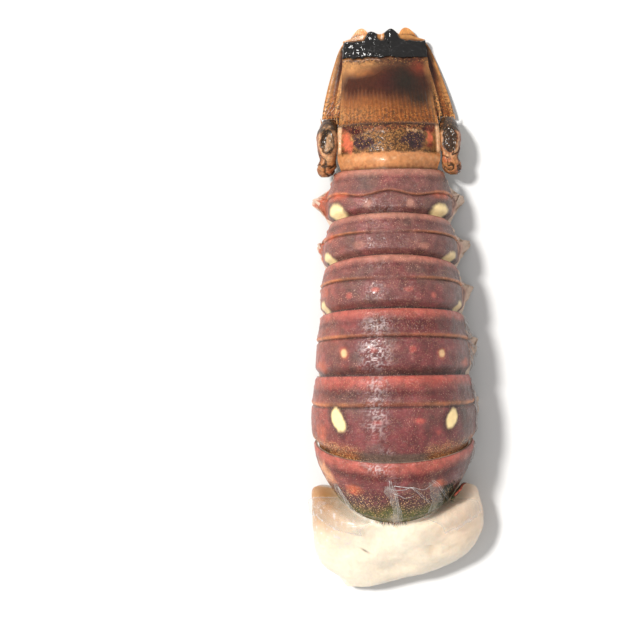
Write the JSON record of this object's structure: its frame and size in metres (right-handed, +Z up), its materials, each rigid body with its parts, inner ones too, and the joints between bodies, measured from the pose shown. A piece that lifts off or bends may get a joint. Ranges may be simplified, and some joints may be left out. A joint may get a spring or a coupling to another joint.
{
  "type": "lobster tail",
  "caption": "Raw spiny lobster tail lying shell up, with lapping shell rings, a folded tail fan and peeled meat standing out of the cut front end.",
  "frame": {"origin": "on the surface it lies on, under the middle of the whole tail", "axes": "+Y from the meat towards the tail fan, +Z up through the back of the shell, +X to the right in the picture"},
  "size_m": [0.0596, 0.1938, 0.041],
  "materials": {
    "meat": "wet satin",
    "shell": "wet, speckled",
    "film": "wet, translucent",
    "tab": "wet satin",
    "skin": "wet satin",
    "telson": "wet, speckled",
    "base": "wet, speckled",
    "side": "wet gloss",
    "blade": "wet gloss",
    "paddle": "wet, translucent"
  },
  "bodies": {
    "root": {"meat": "meat", "shell_ring_1": "shell", "shell_ring_2": "shell", "shell_ring_3": "shell", "shell_ring_4": "shell", "shell_ring_5": "shell", "shell_ring_6": "shell", "joint_film_left": "film", "joint_film_right": "film", "shell_tab": "tab", "belly_skin": "skin", "telson": "telson", "uropod_base_left": "base", "endopod_left": "side", "exopod_left": "side", "uropod_base_right": "base", "endopod_right": "side", "exopod_right": "side", "swimmeret_blade_2_left": "blade", "swimmeret_paddle_2_left": "paddle", "swimmeret_blade_3_left": "blade", "swimmeret_paddle_3_left": "paddle", "swimmeret_blade_4_left": "blade", "swimmeret_paddle_4_left": "paddle", "swimmeret_blade_5_left": "blade", "swimmeret_paddle_5_left": "paddle", "swimmeret_blade_2_right": "blade", "swimmeret_paddle_2_right": "paddle", "swimmeret_blade_3_right": "blade", "swimmeret_paddle_3_right": "paddle", "swimmeret_blade_4_right": "blade", "swimmeret_paddle_4_right": "paddle", "swimmeret_blade_5_right": "blade", "swimmeret_paddle_5_right": "paddle"}
  },
  "joints": []
}
